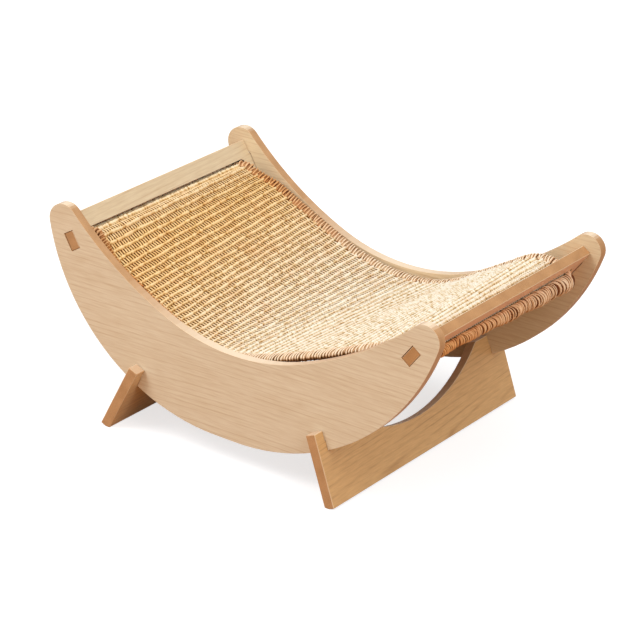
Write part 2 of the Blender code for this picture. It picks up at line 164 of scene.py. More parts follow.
def laminated_board(name, along, across, shift, heart, colours, slot_at):
    """Laminate on the two faces, bare fibreboard on the cut edges.

    The board's own directions give three coordinates: along the grain, across it, and through
    the board. The print shows growth rings. Their distance from the tree's heart line is
    sqrt((across - heart place)^2 + heart depth^2) - taper times along, and the dark lines are
    the crests of sin(2 pi (distance / spacing + slow noise)), raised to a power so that they are
    thin, and broken up by another noise. A slot in the board has its middle at slot_at, across.
    """
    pale, ring, fibre_pale, fibre_dark = colours
    made = bpy.data.materials.new(name)
    made.use_nodes = True
    tree = made.node_tree
    shader = tree.nodes["Principled BSDF"]
    through = Vector(along).cross(Vector(across))
    place = add(tree, "ShaderNodeTexCoord", (), "Object")
    normal = add(tree, "ShaderNodeNewGeometry", (), "True Normal")
    on_grain, on_width, in_depth, through_share, upward = (
        add(tree, "ShaderNodeVectorMath", (vector, direction), "Value", operation="DOT_PRODUCT")
        for vector, direction in (
            (place, along), (place, across), (place, through), (normal, through), (normal, UP)))
    board = add(tree, "ShaderNodeCombineXYZ", (
        add(tree, "ShaderNodeMath", (on_grain, shift[0]), operation="ADD"),
        add(tree, "ShaderNodeMath", (on_width, shift[1]), operation="ADD"),
        in_depth))
    slow, breaks, streaks, pores, clouds = (
        add(tree, "ShaderNodeTexNoise", {
            "Vector": add(tree, "ShaderNodeVectorMath", (board, cells), operation="MULTIPLY"),
            "Scale": 1, "Detail": detail})
        for cells, detail in (
            (SLOW_WAVES, PLAIN_DETAIL), (BREAKS, FINE_DETAIL), (STREAKS, PLAIN_DETAIL),
            (PORES, PLAIN_DETAIL), (CLOUDS, PLAIN_DETAIL)))

    # Growth rings, streaks, pores and clouds of the print
    aside = add(tree, "ShaderNodeMath", (on_width, heart[0]), operation="SUBTRACT")
    square = add(tree, "ShaderNodeMath", (aside, aside, heart[1] ** 2), operation="MULTIPLY_ADD")
    root = add(tree, "ShaderNodeMath", (square,), operation="SQRT")
    distance = add(tree, "ShaderNodeMath", (on_grain, -RING_TAPER, root), operation="MULTIPLY_ADD")
    pushed = add(tree, "ShaderNodeMath", (slow, RING_WANDER), operation="MULTIPLY")
    rings = add(
        tree, "ShaderNodeMath", (distance, 1 / RING_SPACING, pushed), operation="MULTIPLY_ADD")
    angle = add(tree, "ShaderNodeMath", (rings, 2 * pi), operation="MULTIPLY")
    wave = add(tree, "ShaderNodeMath", (angle,), operation="SINE")
    raised = add(tree, "ShaderNodeMath", (wave, 0.5, 0.5), operation="MULTIPLY_ADD")
    crest = add(tree, "ShaderNodeMath", (raised, RING_THINNESS), operation="POWER")
    whole = add(tree, "ShaderNodeMath", (breaks, BREAK_GAIN, BREAK_START), operation="MULTIPLY_ADD")
    whole = add(tree, "ShaderNodeMath", (whole, 0), operation="MAXIMUM")
    line = add(tree, "ShaderNodeMath", (crest, whole), operation="MULTIPLY")
    tone = TONE_START
    for pattern, share in (
            (line, LINE_TONE), (streaks, STREAK_TONE), (pores, PORE_TONE), (clouds, CLOUD_TONE)):
        tone = add(tree, "ShaderNodeMath", (pattern, share, tone), operation="MULTIPLY_ADD")

    # Bare fibre: grit and patches, painted shade in a slot and a painted highlight where it faces
    # up
    grit = add(tree, "ShaderNodeTexNoise", {
        "Vector": place, "Scale": 1 / FIBRE_GRIT, "Detail": FINE_DETAIL,
        "Roughness": GRIT_ROUGHNESS})
    patches = add(tree, "ShaderNodeTexNoise", {
        "Vector": place, "Scale": FIBRE_PATCHES, "Detail": PLAIN_DETAIL})
    speckle = add(tree, "ShaderNodeMix", {"Factor": 0.5, "A": grit, "B": patches})
    speckle = add(tree, "ShaderNodeMapRange", {
        "Value": speckle, "From Min": FIBRE_STOPS[0], "From Max": FIBRE_STOPS[1]})
    layers = [(speckle, linear(fibre_pale))]
    if slot_at is not None:
        from_slot = add(tree, "ShaderNodeMath", (on_width, slot_at), operation="SUBTRACT")
        from_slot = add(tree, "ShaderNodeMath", (from_slot,), operation="ABSOLUTE")
        from_middle = add(tree, "ShaderNodeMath", (on_grain,), operation="ABSOLUTE")
        from_middle = add(tree, "ShaderNodeMath", (
            from_middle, SLOT_BAND[1] / SLOT_BAND[0]), operation="MULTIPLY")
        away = add(tree, "ShaderNodeMath", (from_slot, from_middle), operation="MAXIMUM")
        in_slot = add(tree, "ShaderNodeMath", (away, SLOT_BAND[1]), operation="LESS_THAN")
        layers.append((in_slot, linear(SLOT_PAINTED_SHADE)))
    painted_highlight = add(tree, "ShaderNodeMapRange", {
        "Value": upward, "From Min": PAINTED_HIGHLIGHT_AT[0], "From Max": PAINTED_HIGHLIGHT_AT[1], "To Max": MOST_PAINTED_HIGHLIGHT})
    facing = add(tree, "ShaderNodeMath", (through_share,), operation="ABSOLUTE")
    on_face = add(tree, "ShaderNodeMath", (facing, FACE_LIMIT), operation="GREATER_THAN")
    on_rim = add(tree, "ShaderNodeMath", (facing, EASED_LIMIT), operation="GREATER_THAN")
    print_colour = add(tree, "ShaderNodeMix", {
        "Factor": tone, MIX_FROM: linear(pale), MIX_TO: linear(ring)}, MIXED, data_type="RGBA")
    layers += [
        (painted_highlight, linear(FIBRE_PAINTED_HIGHLIGHT)), (on_rim, linear(LAMINATE_RIM_AND_HIGHLIGHT)), (on_face, print_colour)]
    colour = linear(fibre_dark)
    for share, over in layers:
        colour = add(tree, "ShaderNodeMix", {
            "Factor": share, MIX_FROM: colour, MIX_TO: over}, MIXED, data_type="RGBA")

    rough = add(tree, "ShaderNodeMath", (
        on_face, BOARD_ROUGHNESS - FIBRE_ROUGHNESS, FIBRE_ROUGHNESS), operation="MULTIPLY_ADD")
    height = add(tree, "ShaderNodeMix", {"Factor": on_face, "A": grit, "B": pores})
    relief = add(tree, "ShaderNodeBump", {
        "Height": height, "Strength": PORE_STRENGTH, "Distance": PORE_DEPTH})
    tree.links.new(colour, shader.inputs["Base Color"])
    tree.links.new(rough, shader.inputs["Roughness"])
    tree.links.new(relief, shader.inputs["Normal"])
    shader.inputs["Sheen Weight"].default_value = FIBRE_SHEEN
    shader.inputs["Sheen Roughness"].default_value = SHEEN_ROUGHNESS
    return made


def even_shading():
    """Nodes that shade a CAD board's facets as round where they meet at a small angle."""
    tree = bpy.data.node_groups.new("even_shading", "GeometryNodeTree")
    tree.interface.new_socket("Geometry", in_out="INPUT", socket_type="NodeSocketGeometry")
    tree.interface.new_socket("Geometry", in_out="OUTPUT", socket_type="NodeSocketGeometry")
    mesh = add(tree, "NodeGroupInput", ())
    mesh = add(tree, "GeometryNodeMergeByDistance", {"Geometry": mesh, "Distance": WELD})
    mesh = add(tree, "GeometryNodeRemoveAttribute", {"Geometry": mesh, "Name": "custom_normal"})
    mesh = add(tree, "GeometryNodeSetShadeSmooth", {
        "Geometry": mesh, "Shade Smooth": True}, domain="FACE")
    angle = add(tree, "GeometryNodeInputMeshEdgeAngle", (), "Unsigned Angle")
    sharp = add(tree, "FunctionNodeCompare", {"A": angle, "B": SMOOTH_BELOW}, "Result")
    mesh = add(tree, "GeometryNodeSetShadeSmooth", {
        "Geometry": mesh, "Selection": sharp, "Shade Smooth": False}, domain="EDGE")
    tree.links.new(mesh, tree.nodes.new("NodeGroupOutput").inputs["Geometry"])
    return tree


shading = even_shading()
fibre = (FIBRE_PALE, FIBRE_DARK)
maple = (MAPLE_PALE, MAPLE_RING, *fibre)
warm = (WARM_PALE, WARM_RING, *fibre)
honey = (HONEY_PALE, HONEY_RING, *fibre)
tan = (TAN_PALE, TAN_RING, TAN_FIBRE_PALE, TAN_FIBRE_DARK)
boards = {                       # along the grain, across it, shift, heart line and colours
    "near_side_panel": ((1, 0, 0), UP, (0.3, 0.1), (-0.12, 0.05), maple),
    "far_side_panel": ((1, 0, 0), UP, (1.7, 0.6), (-0.10, 0.05), warm),
    "back_leg": ((0, 1, 0), (sin(LEG_LEAN), 0, cos(LEG_LEAN)), (0.2, 0.9), (-0.15, 0.04), honey),
    "front_leg": ((0, 1, 0), (-sin(LEG_LEAN), 0, cos(LEG_LEAN)), (0.9, 0.4), (-0.06, 0.02), honey),
    "back_rail": ((0, 1, 0), (-sin(RAIL_TILT), 0, cos(RAIL_TILT)), (2.3, 0.7), (0.1, 0.04), warm),
    "front_rail": ((0, 1, 0), (sin(RAIL_TILT), 0, cos(RAIL_TILT)), (3.1, 0.2), (0.1, 0.04), tan),
}
for name, (along, across, shift, heart, colours) in boards.items():
    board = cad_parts[name]
    corners = [board.matrix_world @ Vector(corner) for corner in board.bound_box]
    middle = sum(corners, Vector()) / len(corners)
    slot_at = middle.dot(Vector(across)) if name.endswith("rail") else None
    board.data.materials.clear()
    board.data.materials.append(laminated_board(
        f"maple_laminate_{name}", along, across, shift, heart, colours, slot_at))
    step = board.modifiers.new("even_shading", "NODES")
    step.node_group = shading


# Woven cloth of the mat
# Sisal woven on thick cords that run across the bed. The warp passes over one gap between two
# cords and under the next. The cloth hangs from hem to hem through both rails' slots, and is
# twisted a little: its near side hangs lower at the back, its far side has a slack crest in front.
SIDE_AT = 0.1685                 # distance of the near and far lines from the middle
BOARD = 0.012                    # thickness of a rail
HEM_DIAMETER = 0.013             # of the rolled end of the mat
SEAM_GAP = 0.0003                # between the mat, its hems and the rails
SLOT_FALL = radians(22)          # of the mat as it leaves through a slot, from level
SEAT_HEIGHT = 0.1297             # middle of the panels' upper edge above the floor
NEAR_LOWEST = (-0.022, 0.0105)   # along the bed from its middle, and below the panels' edge
FAR_LOWEST = (0.0175, 0.0072)
NEAR_SAG = ((0.110, radians(24)), (0.134, radians(20)))    # back and front: radius of the arc
FAR_SAG = ((0.241, radians(22.5)), (0.142, radians(34)))   # that hangs, and its slope at the end
NEAR_CRESTS = (0.013, 0.013)     # radius over the back and the front slot's lower edge
FAR_CRESTS = (0.013, 0.047)      # the front one is slack and rises before the slot
LINE_POINTS = 4001

shares = np.linspace(0, 1, LINE_POINTS)


def normal_at(heading):
    """Unit normal on the left of a run with this heading, in the plane of x and z."""
    return np.array([-sin(heading), cos(heading)])


low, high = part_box("front_rail")
rail_centre = np.array([low[0] + high[0], low[2] + high[2]]) / 2
fall = np.array([cos(SLOT_FALL), -sin(SLOT_FALL)])
straight_share = cos(RAIL_TILT - SLOT_FALL)             # the mat crosses the rail askew
to_mouth = BOARD / 2 / straight_share
to_hem = (BOARD / 2 + SEAM_GAP + HEM_DIAMETER / 2) / straight_share
to_end = to_hem - HEM_DIAMETER / 2 - SEAM_GAP
mouth = rail_centre - to_mouth * fall
mat_end = rail_centre + to_end * fall


def half_line(lowest, sag, crest):
    """Arcs of half a side's line as (length, turn), from its lowest point out to the hem.

    The hanging arc turns up to its slope. The next arc leaves it there and runs on to the top of
    the crest's circle: its curvature is 2 (r - d.n) / (d.d - r r), with d from that circle's
    centre to the arc's start and n the left normal there, and it lands where the curvature
    times d, plus n, points. The crest turns down to the slot's fall, and a straight run ends it.
    """
    radius, slope = sag
    start = lowest + radius * np.array([sin(slope), 1 - cos(slope)])
    centre = mouth - crest * normal_at(-SLOT_FALL)
    away = start - centre
    curvature = 2 * (crest - away @ normal_at(slope)) / (away @ away - crest ** 2)
    landing = curvature * away + normal_at(slope)
    heading = atan2(-landing[0], landing[1])
    turn = heading - slope
    chord = hypot(*(centre + crest * normal_at(heading) - start))
    over = heading + SLOT_FALL
    return [
        (radius * slope, slope), (chord / np.sinc(turn / 2 / pi), turn), (crest * over, -over),
        (to_mouth + to_end, 0)]


def side_line(lowest, sags, crests):
    """Length of one side's line, and its x, z and heading at even shares of it, back to front.

    The heading turns evenly along each arc, and each short step goes along the mean of the
    headings at its two ends.
    """
    back, front = (
        half_line(np.array([side * lowest[0], SEAT_HEIGHT - lowest[1]]), sag, crest)
        for side, sag, crest in zip((-1, 1), sags, crests))
    lengths, turns = np.array(back[::-1] + front).T
    ends = np.concatenate([[0], np.cumsum(lengths)]) / lengths.sum()
    headings = SLOT_FALL + np.concatenate([[0], np.cumsum(turns)])
    heading = np.interp(shares, ends, headings)
    halfway = (heading[1:] + heading[:-1]) / 2
    step = lengths.sum() / (len(shares) - 1)
    x = -mat_end[0] + np.concatenate([[0], np.cumsum(np.cos(halfway) * step)])
    z = mat_end[1] + np.concatenate([[0], np.cumsum(np.sin(halfway) * step)])
    return lengths.sum(), (x, z, heading)


near_length, near_line = side_line(NEAR_LOWEST, NEAR_SAG, NEAR_CRESTS)
far_length, far_line = side_line(FAR_LOWEST, FAR_SAG, FAR_CRESTS)
route_length = (near_length + far_length) / 2

# Width of the mat, the bend of its borders, the slant of its rows, and its painted light: golden
# shade on the back slope, cream further on
MAT_IN_SLOT = 0.1515             # half the mat's width where it is drawn through a slot
MAT_AT_PANEL = {-1: 0.1660, 1: 0.1665}     # its near and far edges between the panels
BORDER_WIDTH = {-1: 0.0055, 1: 0.0165}     # seen from above, the near one bent down the more
BORDER_IN_SLOT = {-1: 0.005, 1: 0.015}
FRINGE_FROM = (0.215, 0.045)     # the near border lies flat from here on, over this length,
FRINGE_TO = (0.395, 0.045)       # and is bent down again from here on
FRINGE_WIDER = 0.009
FRINGE_FLAT = 0.82               # share of the bend that is taken out there
CURL_DEPTH = {-1: 0.015, 1: 0.0005}        # how far a border's edge is bent down by its panel
CURL_INSIDE = 0.001              # the bend begins this far inside the border
CURL_POWER = 1.7
CURL_LIMIT = 1.1                 # and goes on to this share of the border's width
CURL_GROWS = (0.0124, 0.016)     # from this length at each end, over this one
FILLS_SLOT = 0.45                # share by which the mat is thicker, bunched up in the slots
BUNCHED_POWER = 4                # how soon that ends outside a slot
BACK_SPREAD = (0.016, 0.054)     # where it begins to widen, and the length that it takes
FRONT_SPREAD = (0.045, 0.095)
SKEW = 0.018                     # how far a row's near end lies further along than its far end
SKEW_GROWS = 0.0675              # over this length from the back end
SKEW_FADES = (0.150, 0.150)      # from this length on, and over this one
# Painted light on the mat's yarn: golden painted shade on the back slope, cream painted light in
# the middle and front, and some at the slot
PAINTED_CREAM_FROM = 0.05               # the back slope gets golden painted shade, turning to painted cream light from here,
PAINTED_CREAM_RUN = 0.22                # over this length,
PAINTED_CREAM_TURN = 0.15               # the far side sooner, by this share of the distance across
PAINTED_CREAM_AT_SLOT = 0.5
PAINTED_CREAM_LIFTS = 0.05              # how much paler the deep places get under the painted cream light


def eased(value):
    """0 below 0, 1 above 1, and 3 t^2 - 2 t^3 between."""
    part = np.clip(value, 0, 1)
    return part * part * (3 - 2 * part)


def spread(along):
    """0 where the mat is drawn in at a slot and 1 between the panels."""
    from_back = (along - BACK_SPREAD[0]) / BACK_SPREAD[1]
    from_front = (route_length - along - FRONT_SPREAD[0]) / FRONT_SPREAD[1]
    return eased(np.minimum(from_back, from_front))


def fringe(along):
    """1 in the low middle, where the near border lies flat and can be seen, and 0 elsewhere."""
    begun = eased((along - FRINGE_FROM[0]) / FRINGE_FROM[1])
    return begun * (1 - eased((along - FRINGE_TO[0]) / FRINGE_TO[1]))


def mat_edge(along, side):
    """Distance from the middle to the mat's edge on this side, -1 near and 1 far."""
    return MAT_IN_SLOT + (MAT_AT_PANEL[side] - MAT_IN_SLOT) * spread(along)


def field_edge(along, side):
    """Distance to the edge of the open weave, inside the stitched border."""
    in_slot = BORDER_IN_SLOT[side]
    border = in_slot + (BORDER_WIDTH[side] - in_slot) * spread(along)
    if side < 0:
        border = border + FRINGE_WIDER * fringe(along)
    return mat_edge(along, side) - border


def laid(along, across, up):
    """Points on the hanging mat, at this length along it and this distance across it.

    Its line at a distance y is a mix of the near and far lines, linear in y, and up goes along
    that line's normal. Each border is bent down by its depth times the outward share of its
    width to a power, and up is stretched where the mat is bunched in a slot.
    """
    along, across, up = np.broadcast_arrays(along, across, up)
    from_end = np.minimum(along, route_length - along)
    grown = eased((from_end - CURL_GROWS[0]) / CURL_GROWS[1])
    up = up * (1 + FILLS_SLOT * (1 - spread(along)) ** BUNCHED_POWER)
    for side in (-1, 1):
        inside = field_edge(along, side) - CURL_INSIDE
        outward = (side * across - inside) / (mat_edge(along, side) - inside)
        bent = CURL_DEPTH[side] * np.clip(outward, 0, CURL_LIMIT) ** CURL_POWER
        flat = FRINGE_FLAT * fringe(along) if side < 0 else 0
        up = up - bent * grown * (1 - flat)
    far_share = across / (2 * SIDE_AT) + 0.5
    x, z, heading = (
        np.interp(along / route_length, shares, near) * (1 - far_share)
        + np.interp(along / route_length, shares, far) * far_share
        for near, far in zip(near_line, far_line))
    return np.stack([x - up * np.sin(heading), across, z + up * np.cos(heading)], axis=-1)


def between(part, near, far):
    """Distance across at this part of the width, from -near at -1 to far at 1."""
    return (far - near + part * (far + near)) / 2


def woven(place, part):
    """Length along the mat of a weave row, at this part of the width, -1 near and 1 far.

    A row is askew by part times half the skew, which eases in from the back end and out again.
    """
    grown = eased(place / SKEW_GROWS) * (1 - eased((place - SKEW_FADES[0]) / SKEW_FADES[1]))
    return place - part * SKEW / 2 * grown


def painted_cream(along, across):
    """Painted light: 0 for golden painted shade on the back slope, 1 for cream painted light in the
    middle and front, and some of it at the slot.
    """
    further = eased((along + PAINTED_CREAM_TURN * across - PAINTED_CREAM_FROM) / PAINTED_CREAM_RUN)
    return further + PAINTED_CREAM_AT_SLOT * (1 - eased(along / PAINTED_CREAM_FROM))


# Yarn: many strands in one mesh, and the fibre that they are spun of
YARN_SIDES = 6
# Deep, shade, middle and pale colours follow the painted shade and light of each place, and the
# golden tint is painted shade
SISAL_DEEP = "#674200"
SISAL_SHADE = "#AA7E38"
SISAL_MID = "#E6D0A8"
SISAL_PALE = "#F5ECDA"
SISAL_PINK = "#F4DCC8"
SISAL_GOLDEN = "#FFE6B8"
SISAL_ROUGHNESS = 0.85
YARN_STOPS = (0.1, 0.4, 0.7, 0.95)         # light at the deep, shade, middle and pale colours
FIBRE_STREAKS = (130, 37, 1)     # noise cells in a metre of yarn, over all yarns and all bleach
HAIRS = 900                      # in a metre: coarser than the real hairs, so that they show
HAIR_ROUGHNESS = 0.7
YARN_PATCHES = 60                # in a metre
LIGHT_START = -0.5
STREAK_LIGHT = 0.6               # what the streaks and the hairs add to the light
HAIR_LIGHT = 0.4
WARM_GAIN = 3                    # how sharply the warm patches begin
WARM_START = -1.3
WARM_SHARE = 0.5
HAIR_STRENGTH = 0.4
HAIR_DEPTH = 0.0003
YARN_SPECULAR = 0.25


def section(sides, first=0):
    """Angles of a closed section's corners, the first one on by this share of a side."""
    return (np.arange(sides) + first) * 2 * pi / sides


def strands(name, points, painted_light, fibre, looped=False):
    """Many like strands in one mesh, from points[strand, ring, side].

    Neighbouring rings and sides are joined by quads, and an open strand is closed by a strip of
    quads at each end. The third argument paints shade and light: how far a point lies in the
    open. fibre is its length along the strand, the strand's own random number and its share of
    the painted cream light.
    """
    count, rings, sides = points.shape[:3]
    index = np.arange(count * rings * sides).reshape(count, rings, sides)
    if looped:
        here, there = index, np.roll(index, -1, axis=1)
    else:
        here, there = index[:, :-1], index[:, 1:]
    walls = np.stack([here, np.roll(here, -1, 2), np.roll(there, -1, 2), there], -1)
    faces = [walls.reshape(-1, 4)]
    if not looped:
        for ring, turn in ((index[:, 0], 1), (index[:, -1], -1)):
            low = np.arange(sides // 2 - 1)
            cap = np.stack([low, low + 1, sides - 2 - low, sides - 1 - low], -1)
            faces.append(ring[:, cap].reshape(-1, 4)[:, ::-turn])
    faces = np.concatenate(faces)
    flat = points.reshape(-1, 3)
    a, b, c = (flat[faces[:, k]] for k in range(3))
    if (a * np.cross(b, c)).sum() < 0:
        faces = faces[:, ::-1]
    mesh = bpy.data.meshes.new(name)
    mesh.vertices.add(len(flat))
    mesh.vertices.foreach_set("co", flat.astype(np.float32).ravel())
    mesh.loops.add(faces.size)
    mesh.loops.foreach_set("vertex_index", faces.astype(np.int32).ravel())
    mesh.polygons.add(len(faces))
    mesh.polygons.foreach_set("loop_start", np.arange(0, faces.size, 4, dtype=np.int32))
    mesh.update(calc_edges=True)
    mesh.shade_smooth()
    painted_light = np.broadcast_to(painted_light, points.shape[:3])
    mesh.attributes.new("painted_light", "FLOAT", "POINT").data.foreach_set(
        "value", painted_light.astype(np.float32).ravel())
    fibre = np.broadcast_to(np.stack(np.broadcast_arrays(*fibre), -1), points.shape)
    mesh.attributes.new("fibre", "FLOAT_VECTOR", "POINT").data.foreach_set(
        "vector", fibre.astype(np.float32).ravel())
    made = bpy.data.objects.new(name, mesh)
    scene.collection.objects.link(made)
    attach(made, "root")
    return made


def yarn(name, colours, warm, painted_golden, roughness):
    """Spun plant fibre: dull, with painted shade deep in the weave, and uneven in colour along each
    yarn.

    Four colours follow a painted light: how far a place lies in the open, for painted shade deep
    in the weave and painted light on top, plus a little where the cream light is painted, plus
    streaks along the yarn and fine hairs. Warm patches, and a golden tint that is painted shade
    where no cream light is painted, are multiplied over them.
    """
    made = bpy.data.materials.new(name)
    made.use_nodes = True
    tree = made.node_tree
    shader = tree.nodes["Principled BSDF"]
    place = add(tree, "ShaderNodeTexCoord", (), "Object")
    painted_light = add(tree, "ShaderNodeAttribute", (), "Fac", attribute_name="painted_light")
    fibre = add(tree, "ShaderNodeAttribute", (), "Vector", attribute_name="fibre")
    painted_cream_share = add(tree, "ShaderNodeSeparateXYZ", (fibre,), "Z")
    long = add(tree, "ShaderNodeVectorMath", (fibre, FIBRE_STREAKS), operation="MULTIPLY")
    streak = add(tree, "ShaderNodeTexNoise", {
        "Vector": long, "Scale": 1, "Detail": PLAIN_DETAIL})
    hair = add(tree, "ShaderNodeTexNoise", {
        "Vector": place, "Scale": HAIRS, "Detail": PLAIN_DETAIL, "Roughness": HAIR_ROUGHNESS})
    patches = add(tree, "ShaderNodeTexNoise", {
        "Vector": place, "Scale": YARN_PATCHES, "Detail": FINE_DETAIL})

    light = LIGHT_START
    for pattern, share in (
            (hair, HAIR_LIGHT), (streak, STREAK_LIGHT), (painted_cream_share, PAINTED_CREAM_LIFTS), (painted_light, 1)):
        light = add(tree, "ShaderNodeMath", (pattern, share, light), operation="MULTIPLY_ADD")
    colour = add(tree, "ShaderNodeValToRGB", (light,))
    stops = colour.node.color_ramp.elements
    for at in YARN_STOPS[1:-1]:
        stops.new(at)
    for stop, at, code in zip(stops, YARN_STOPS, colours):
        stop.position = at
        stop.color = linear(code)
    warmth = add(tree, "ShaderNodeMath", (patches, WARM_GAIN, WARM_START), operation="MULTIPLY_ADD")
    warmth = add(tree, "ShaderNodeMath", (warmth, 1), operation="MINIMUM")
    warmth = add(tree, "ShaderNodeMath", (warmth, WARM_SHARE), operation="MULTIPLY")
    golden = add(tree, "ShaderNodeMath", (1, painted_cream_share), operation="SUBTRACT")
    for share, tint in ((warmth, warm), (golden, painted_golden)):
        colour = add(tree, "ShaderNodeMix", {
            "Factor": share, MIX_FROM: colour, MIX_TO: linear(tint)}, MIXED,
            data_type="RGBA", blend_type="MULTIPLY", clamp_factor=True)
    relief = add(tree, "ShaderNodeBump", {
        "Height": hair, "Strength": HAIR_STRENGTH, "Distance": HAIR_DEPTH})
    tree.links.new(colour, shader.inputs["Base Color"])
    tree.links.new(relief, shader.inputs["Normal"])
    shader.inputs["Roughness"].default_value = roughness
    shader.inputs["Specular IOR Level"].default_value = YARN_SPECULAR
    return made


sisal = yarn(
    "woven_sisal", (SISAL_DEEP, SISAL_SHADE, SISAL_MID, SISAL_PALE), SISAL_PINK, SISAL_GOLDEN,
    SISAL_ROUGHNESS)

# The dense middle of the cloth, which runs on under the stitched borders: a sheet that stands
# in for the packed fibre deep in the weave, in the deepest colour as painted shade
CLOTH_HALF = 0.0010              # half thickness of the dense cloth in the middle
CLOTH_HEM = 0.0022               # how far its cut edge lies inside the border's stitches
CLOTH_RINGS = 241
CLOTH_COLUMNS = 25

cloth_along = np.linspace(0, route_length, CLOTH_RINGS)[None, :, None]
cloth_row = np.linspace(-1, 1, CLOTH_COLUMNS)
cloth_part = np.concatenate([cloth_row, cloth_row[::-1]])[None, None, :]
cloth_side = np.repeat([1, -1], CLOTH_COLUMNS)[None, None, :]
cloth_across = between(
    cloth_part, mat_edge(cloth_along, -1) - CLOTH_HEM, mat_edge(cloth_along, 1) - CLOTH_HEM)
cloth_points = laid(cloth_along, cloth_across, CLOTH_HALF * cloth_side)
cloth = strands(
    "sisal_cloth", cloth_points, 0, (cloth_along, 0, painted_cream(cloth_along, cloth_across)))
cloth.data.materials.append(sisal)

# Cords across the mat, on which it is woven: an uneven oval section along each row
RIB_PITCH = 0.0086
ROWS_AT = (0, 0.06, 0.13, 0.20, 0.30, 0.50)          # the rows are beaten up unevenly: at these
ROWS_APART = (1.09, 1.09, 0.86, 0.92, 1.0, 1.0)      # lengths, times the mean pitch
ROW_POINTS = 1001
RIB_HALF_WIDTH = 0.0021
RIB_HALF_HEIGHT = 0.0034
RIB_RINGS = 250
RIB_LUMP = 0.09                  # how uneven the cords are, as a share of their thickness
RIB_WANDER = 0.0004              # how far a cord strays along the mat,
RIB_WAVES = 95                   # in waves of this many radians in a metre,
RIB_SHIFT = 40                   # which start up to this many radians on in each cord
RIB_PAINTED_LIGHT = (0.1, 1.0)           # painted shade and light: how far it lies in the open, at its sides and on top
LUMP_PAINTED_LIGHT = 2                   # and the painted light that a lump adds, times how much it stands out
SEED = 11

dice = np.random.default_rng(SEED)
rib_count = round(route_length / RIB_PITCH)
rib_gap = route_length / rib_count
steps = np.linspace(0, route_length, ROW_POINTS)
rows_before = np.concatenate([[0], np.cumsum(1 / np.interp(steps[1:], ROWS_AT, ROWS_APART))])
rows_before *= rib_count / rows_before[-1]
rib_place = np.interp(np.arange(rib_count) + 0.5, rows_before, steps)[:, None, None]
rib_part = np.linspace(-1, 1, RIB_RINGS)[None, :, None]
oval_turn = section(YARN_SIDES, 0.5)[None, None, :]
rib_seed = dice.uniform(0, 1, (rib_count, 1, 1))
rib_across = between(rib_part, field_edge(rib_place, -1), field_edge(rib_place, 1))
lump = dice.normal(0, 1, (rib_count, RIB_RINGS, 1))
lump = 1 + RIB_LUMP * (lump + np.roll(lump, 1, 1)) / 2
wander = RIB_WANDER * np.sin(rib_across * RIB_WAVES + RIB_SHIFT * rib_seed)
rib_along = woven(rib_place + wander + RIB_HALF_WIDTH * lump * np.cos(oval_turn), rib_part)
rib_painted_light = RIB_PAINTED_LIGHT[0] + (RIB_PAINTED_LIGHT[1] - RIB_PAINTED_LIGHT[0]) * np.abs(np.sin(oval_turn))
ribs = strands(
    "cross_cords",
    laid(rib_along, rib_across, RIB_HALF_HEIGHT * lump * np.sin(oval_turn)),
    rib_painted_light + LUMP_PAINTED_LIGHT * (lump - 1),
    (rib_across, rib_seed, painted_cream(rib_along, rib_across)))
ribs.data.materials.append(sisal)

# Warp, odd and even yarns: half height sin(pi along / gap), up over one gap and down over the next
RUNG_PITCH = 0.0046              # between two warp yarns over one gap
WARP_HALF_WIDTH = 0.0013
WARP_PINCHED = 0.8               # share of that width over the cords
WARP_HALF_HEIGHT = 0.0010
WARP_RINGS = 4                   # for each gap
WARP_LEAN = 0.0008               # a warp yarn crosses a gap askew, by this much each way
WARP_RISE = 0.0008               # height of the warp's middle over a gap
WARP_STRAY = 0.00025             # random shift of each warp yarn to the side
WARP_PAINTED_LIGHT = (-0.1, 0.8)         # painted shade and light, where it lies lowest and highest
WARP_OPENS = (-0.15, 0.6)        # the painted light grows from this share of its height on, over this one

field_width = sum(MAT_AT_PANEL.values()) - sum(BORDER_WIDTH.values())
yarn_count = 2 * round(field_width / RUNG_PITCH)
ring_row = np.linspace(0, rib_count, WARP_RINGS * rib_count + 1)
ring_along = np.interp(ring_row, rows_before, steps)[None, :, None]
warps = []
for name, first, side in (("even_warp_yarns", 0, -1), ("odd_warp_yarns", 1, 1)):
    number = np.arange(first, yarn_count, 2)[:, None, None]
    seed = dice.uniform(0, 1, number.shape)
    phase = pi * (ring_row[None, :, None] - 0.5)
    rise = side * WARP_RISE * np.sin(phase)
    slope = np.arctan(side * WARP_RISE * np.cos(phase) * pi / rib_gap)
    part = 2 * (number + 0.5) / yarn_count - 1
    stray = dice.normal(0, WARP_STRAY, (len(number), ring_along.size, 1))
    width = WARP_HALF_WIDTH * (WARP_PINCHED + (1 - WARP_PINCHED) * np.abs(np.sin(phase)))
    tall = WARP_HALF_HEIGHT * np.sin(oval_turn)
    place = woven(ring_along, part)
    across = between(part, field_edge(place, -1), field_edge(place, 1)) + stray
    across = across - side * WARP_LEAN * np.cos(phase)
    points = laid(
        place - np.sin(slope) * tall,
        across + width * np.cos(oval_turn),
        rise + np.cos(slope) * tall)
    outward = (rise + np.cos(slope) * tall) * np.sign(np.sin(oval_turn))
    outward = outward / (WARP_RISE + WARP_HALF_HEIGHT)
    opened = eased((outward - WARP_OPENS[0]) / WARP_OPENS[1])
    painted_light = WARP_PAINTED_LIGHT[0] + (WARP_PAINTED_LIGHT[1] - WARP_PAINTED_LIGHT[0]) * opened
    made = strands(name, points, painted_light, (place, seed, painted_cream(place, across)))
    made.data.materials.append(sisal)
    warps.append(made)
for piece in (cloth, ribs, *warps):
    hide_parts("sisal_mat")


